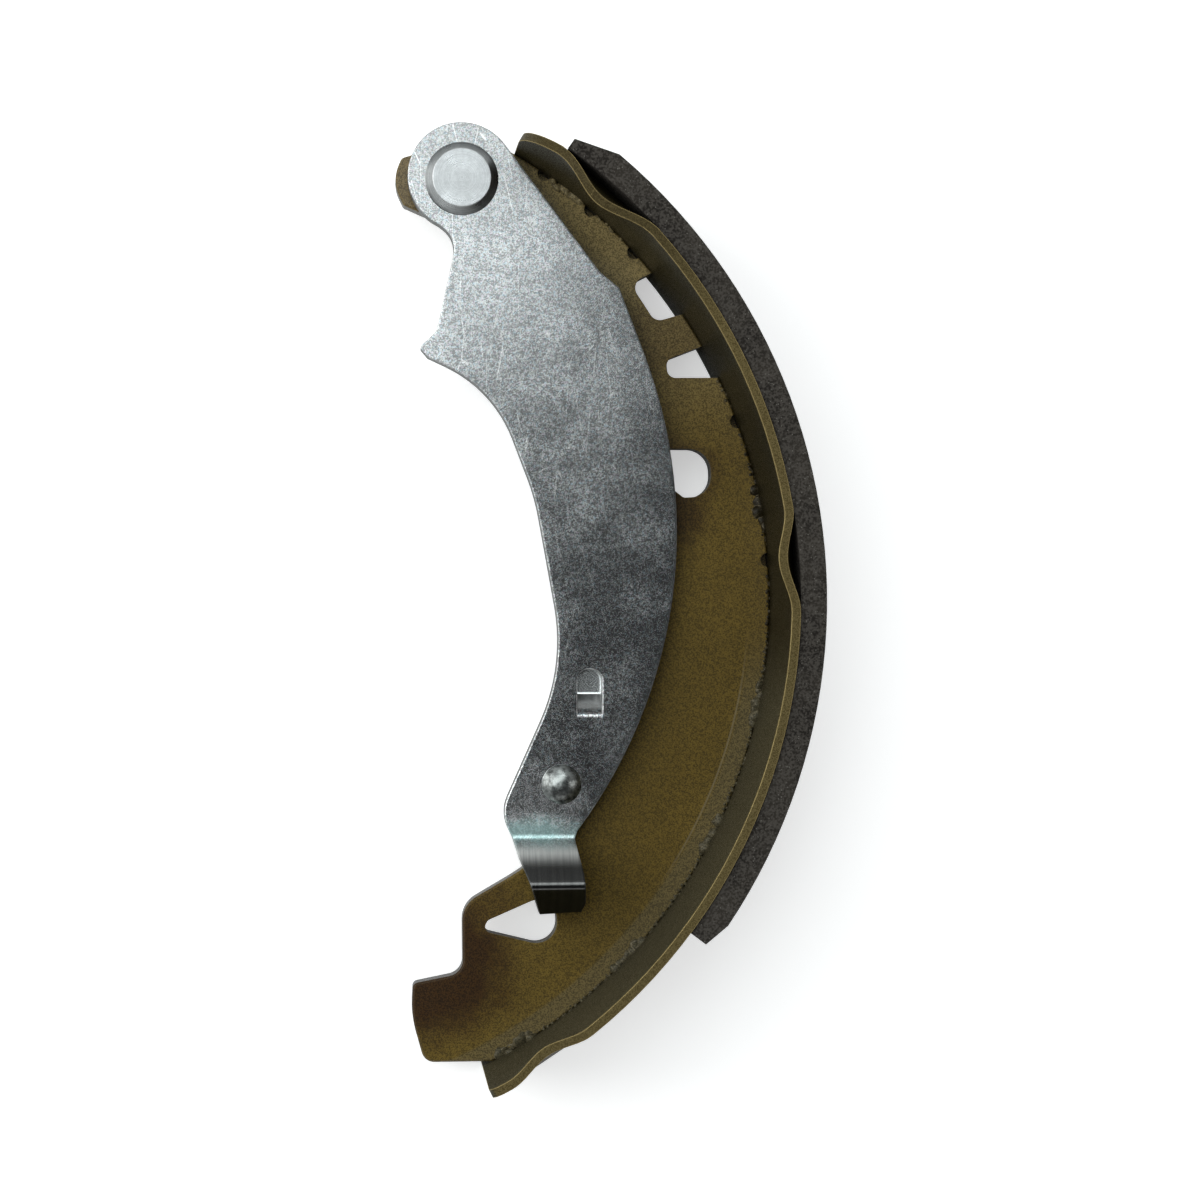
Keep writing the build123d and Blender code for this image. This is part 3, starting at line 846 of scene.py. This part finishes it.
arc = add(weld, "GeometryNodeCurveArc", {
    "Resolution": ARC_STEPS, "Radius": asked["Radius"],
    "Start Angle": asked["Start"], "Sweep Angle": asked["Sweep"],
}).outputs[0]
places = add(
    weld, "GeometryNodeCurveToPoints", {"Curve": arc, "Length": asked["Spacing"]}, mode="LENGTH"
).outputs["Points"]
shake = random_vector(tuple(-v for v in SHAKE), SHAKE, asked["Seed"])
moved = add(weld, "GeometryNodeSetPosition", {
    "Geometry": places, "Offset": scaled(weld, shake, asked["Wander"]),
}).outputs[0]
ball = add(weld, "GeometryNodeMeshIcoSphere", {"Radius": asked["Bead"], "Subdivisions": 2})
squash = add(weld, "ShaderNodeCombineXYZ", {0: 1.0, 1: 1.0, 2: asked["Flat"]}).outputs[0]
bead = add(weld, "GeometryNodeTransform", {"Geometry": ball.outputs[0], "Scale": squash})
size_seed = math_node(weld, "ADD", asked["Seed"], SIZE_SEED)
size = add(
    weld, "FunctionNodeRandomValue", {2: SMALLEST, 3: LARGEST, "Seed": size_seed},
    data_type="FLOAT",
).outputs[1]
turn_seed = math_node(weld, "ADD", asked["Seed"], TURN_SEED)
spin = random_vector((-TILT, -TILT, 0.0), (TILT, TILT, FULL_TURN), turn_seed)
beads = add(weld, "GeometryNodeInstanceOnPoints", {
    "Points": moved, "Instance": bead.outputs[0], "Rotation": spin, "Scale": size,
})
print("beads are set on", ARC_STEPS, "steps of arc")

# %% [markdown]
# ## From beads to one rough line
# Weld metal never sets in round balls, so the beads are made real faces, and noise moves their points
# about. Then the line is moved to the drum's axis, shaded smooth and given its finish. The export
# drops instances, which is why they are made real in the tree, and this costs nothing here, because
# the noise needs real points too.

# %% Weld lumps and finish
LUMP_SCALE = 900.0

lumps = add(weld, "ShaderNodeTexNoise", {"Scale": LUMP_SCALE, "Detail": 1.0}).outputs["Color"]
swell = vector_node(weld, "SUBTRACT", lumps, (NOISE_MIDDLE, NOISE_MIDDLE, NOISE_MIDDLE))
step = add(weld, "GeometryNodeRealizeInstances", {0: beads.outputs[0]})
for kind, inputs in (
    ("GeometryNodeSetPosition", {"Offset": scaled(weld, swell, asked["Bead"])}),
    ("GeometryNodeTransform", {"Translation": asked["Centre"]}),
    ("GeometryNodeSetShadeSmooth", {}),
    ("GeometryNodeSetMaterial", {"Material": asked["Finish"]}),
):
    step = add(weld, kind, {"Geometry": step.outputs[0], **inputs})
weld.links.new(step.outputs[0], weld.nodes.new("NodeGroupOutput").inputs[0])
print("nodes in the tree:", len(weld.nodes))

# %% [markdown]
# ## Running the tree
# A modifier would keep the beads live, but the exported model needs plain meshes. So each stretch of
# weld is made on a host object, its evaluated mesh is kept, and the host is thrown away. The meshes
# of all stretches are then joined into one piece.


# %% Helpers for weld meshes
def run_weld(settings):
    host = bpy.data.objects.new("weld host", bpy.data.meshes.new("weld host"))
    bpy.context.scene.collection.objects.link(host)
    modifier = host.modifiers.new("weld", "NODES")
    modifier.node_group = weld
    for item in weld.interface.items_tree:
        if item.in_out == "INPUT" and item.name in settings:
            modifier[item.identifier] = settings[item.name]
    evaluated = host.evaluated_get(bpy.context.evaluated_depsgraph_get())
    made = bpy.data.meshes.new_from_object(evaluated)
    bpy.data.objects.remove(host)
    return made


def weld_piece(name, runs):
    joined = bmesh.new()
    for settings in runs:
        joined.from_mesh(run_weld(settings))
    mesh = bpy.data.meshes.new(name)
    joined.to_mesh(mesh)
    joined.free()
    mesh.materials.append(weld_lacquer)
    piece = bpy.data.objects.new(name, mesh)
    bpy.context.scene.collection.objects.link(piece)
    print(name, "has", len(mesh.polygons), "faces")
    return piece


print("ready to run", weld.name)

# %% [markdown]
# ## Seam, spots and underside
# The seam above has gaps where the web's edge is notched or cut away, so it is given as stretches of
# arc, each by its start and its sweep in degrees. The seam below follows the same stretches with
# coarser beads. The spots are short stretches of large flat beads. One tree makes all three, and
# only its inputs differ.

# %% Weld meshes
WEB_OUTER = 95.15 * MM
JOINT_RADIUS = WEB_OUTER - 0.15 * MM
SEAM_SINK = 0.12 * MM
SEAM_STRETCHES = [(-61.5, 64.5), (6.5, 12.5), (22.5, 3.0), (44.5, 4.0), (51.0, 4.0)]
SPOT_ANGLES, SPOT_SWEEP = [-59.0, -43.5, -27.0, -11.5, 10.5, 52.5], 4.0
SEAM_SEED, SPOT_SEED, UNDER_SEED = 11, 40, 60


def weld_run(start, sweep, height, seed, spacing, size, wander, flat=0.7):
    return {
        "Radius": JOINT_RADIUS, "Start": math.radians(start), "Sweep": math.radians(sweep),
        "Centre": drum_axis + Vector((0, 0, height)), "Spacing": spacing * MM,
        "Bead": size * MM, "Flat": flat, "Wander": wander * MM, "Seed": seed,
        "Finish": weld_lacquer,
    }


web_low, web_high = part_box("web")
seam_runs = [
    weld_run(*stretch, web_high.z - SEAM_SINK, SEAM_SEED + n, spacing=0.34, size=0.3, wander=0.42)
    for n, stretch in enumerate(SEAM_STRETCHES)
]
spot_runs = [
    weld_run(
        angle - SPOT_SWEEP / 2, SPOT_SWEEP, web_high.z, SPOT_SEED + n,
        spacing=0.55, size=1.05, wander=0.6, flat=0.45,
    )
    for n, angle in enumerate(SPOT_ANGLES)
]
under_runs = [
    weld_run(*stretch, web_low.z, UNDER_SEED + n, spacing=0.8, size=0.45, wander=0.25)
    for n, stretch in enumerate(SEAM_STRETCHES)
]
weld_seam = weld_piece("weld_seam", seam_runs)
weld_spots = weld_piece("weld_spots", spot_runs)
weld_underside = weld_piece("weld_underside", under_runs)

for piece in (weld_seam, weld_spots, weld_underside):
    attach(piece, "shoe")
print("welds ride on the shoe")

# %% [markdown]
# ## The floor
# The shoe was photographed on plain white. A floor that is only lit looks grey next to bright metal,
# and one that simply glows would light the shoe from below. So this floor adds its glow for the
# camera's own rays alone, which the Light Path node can tell, and the shoe's faint shadow stays.

# %% Floor
FLOOR_REACH = 4

corners = [(-1, -1), (1, -1), (1, 1), (-1, 1)]
floor_mesh = bpy.data.meshes.new("floor")
floor_mesh.from_pydata(
    [(FLOOR_REACH * x, FLOOR_REACH * y, 0) for x, y in corners], [], [(0, 1, 2, 3)]
)
floor = bpy.data.objects.new("floor", floor_mesh)
bpy.context.scene.collection.objects.link(floor)
pale_floor, tree, shader, place = start_material(
    "pale floor", Base_Color=rgb(0.86, 0.86, 0.85), Roughness=0.9, Specular_IOR_Level=0.2,
    Emission_Strength=0.5,
)
seen = add(tree, "ShaderNodeLightPath").outputs["Is Camera Ray"]
tree.links.new(seen, shader["Emission Color"])
floor_mesh.materials.append(pale_floor)
print("floor at z", floor.location.z)

# %% [markdown]
# ## The world round the shoe
# Zinc shows whatever it faces, so the surroundings are part of its look. A picture of a studio could
# surround the scene, but a single fade by height does: pale near the horizon, so that the lever
# isn't black when it is seen from the side, and dark straight above, so that its flat face stays
# dark where no lamp reaches.

# %% World
WORLD_TINT = rgb(0.95, 0.98, 1.0)
WALLS_END = (0.45, 0.92)
WALL_STRENGTH, ZENITH_STRENGTH = 0.34, 0.03

world = bpy.data.worlds.new("studio")
bpy.context.scene.world = world
world.use_nodes = True
tree = world.node_tree
background = tree.nodes["Background"].inputs
background["Color"].default_value = WORLD_TINT
toward = add(tree, "ShaderNodeTexCoord").outputs["Generated"]
walls = remap(tree, parts(tree, toward)["Z"], *WALLS_END, WALL_STRENGTH, ZENITH_STRENGTH)
tree.links.new(walls, background["Strength"])
print("world:", world.name)

# %% [markdown]
# ## The lamps
# The photograph's lever is bright at its eye and dark at its lower end. A lamp straight above would
# light both alike. So one broad soft lamp, the key, looks down from beyond the upper left end, where
# the eye mirrors it most. Three weaker lamps shine in at a slant from the left, the right and the
# near side, and light the walls.

# %% Lamps
SHOE = (0.0, 0.0, 0.0)
FILL_SIDE = 0.7
KEY_PLACE, KEY_TURN = (-0.3, 0.372, 0.8), 145.0
KEY_COLOUR = (0.93, 0.98, 1.0)


def softbox(name, place, target, width, depth, power, color=(1.0, 1.0, 1.0)):
    light = bpy.data.lights.new(name, "AREA")
    light.shape, light.size, light.size_y, light.energy = "RECTANGLE", width, depth, power
    light.color = color
    lamp = bpy.data.objects.new(name, light)
    bpy.context.scene.collection.objects.link(lamp)
    lamp.location = place
    lamp.rotation_euler = (Vector(target) - Vector(place)).to_track_quat("-Z", "Y").to_euler()
    return lamp


lamps = [
    softbox("left", (-0.95, 0.25, 0.62), SHOE, FILL_SIDE, FILL_SIDE, power=5.0),
    softbox("right", (0.95, 0.1, 0.62), SHOE, FILL_SIDE, FILL_SIDE, power=2.5),
    softbox("near", (0.0, -0.95, 0.62), SHOE, FILL_SIDE, FILL_SIDE, power=1.0),
]
below_key = (KEY_PLACE[0], KEY_PLACE[1], 0.0)
key = softbox("key", KEY_PLACE, below_key, width=0.8, depth=1.2, power=6.6, color=KEY_COLOUR)
key.rotation_euler = (0.0, 0.0, math.radians(KEY_TURN))
print("lights:", [lamp.name for lamp in (*lamps, key)])

# %% [markdown]
# ## The camera
# The shoe was photographed from straight above, and the camera stands where the photograph's
# perspective puts it. It could be moved nearer to fill the picture, but that would change how much
# larger the rim's upper edge looks than the floor. So its lens is longer instead, and it turns a few
# degrees towards the shoe, which changes the framing alone.

# %% Camera
CAMERA_PLACE = (-0.04468, -0.00244, 0.5485)
AIM_AT = Vector((0.0, 0.0, 0.01))
SENSOR_MM, LENS_MM = 36.0, 88.0

bpy.context.scene.view_settings.view_transform = "Standard"
lens = bpy.data.cameras.new("camera")
lens.sensor_width, lens.lens = SENSOR_MM, LENS_MM
lens.clip_start, lens.clip_end = 0.01, 20.0
camera = bpy.data.objects.new("camera", lens)
bpy.context.scene.collection.objects.link(camera)
camera.location = CAMERA_PLACE
aim = AIM_AT - camera.location
camera.rotation_euler = (math.atan2(aim.y, -aim.z), -math.atan2(aim.x, -aim.z), 0.0)
bpy.context.scene.camera = camera
print("camera at", tuple(camera.location), "lens", lens.lens)
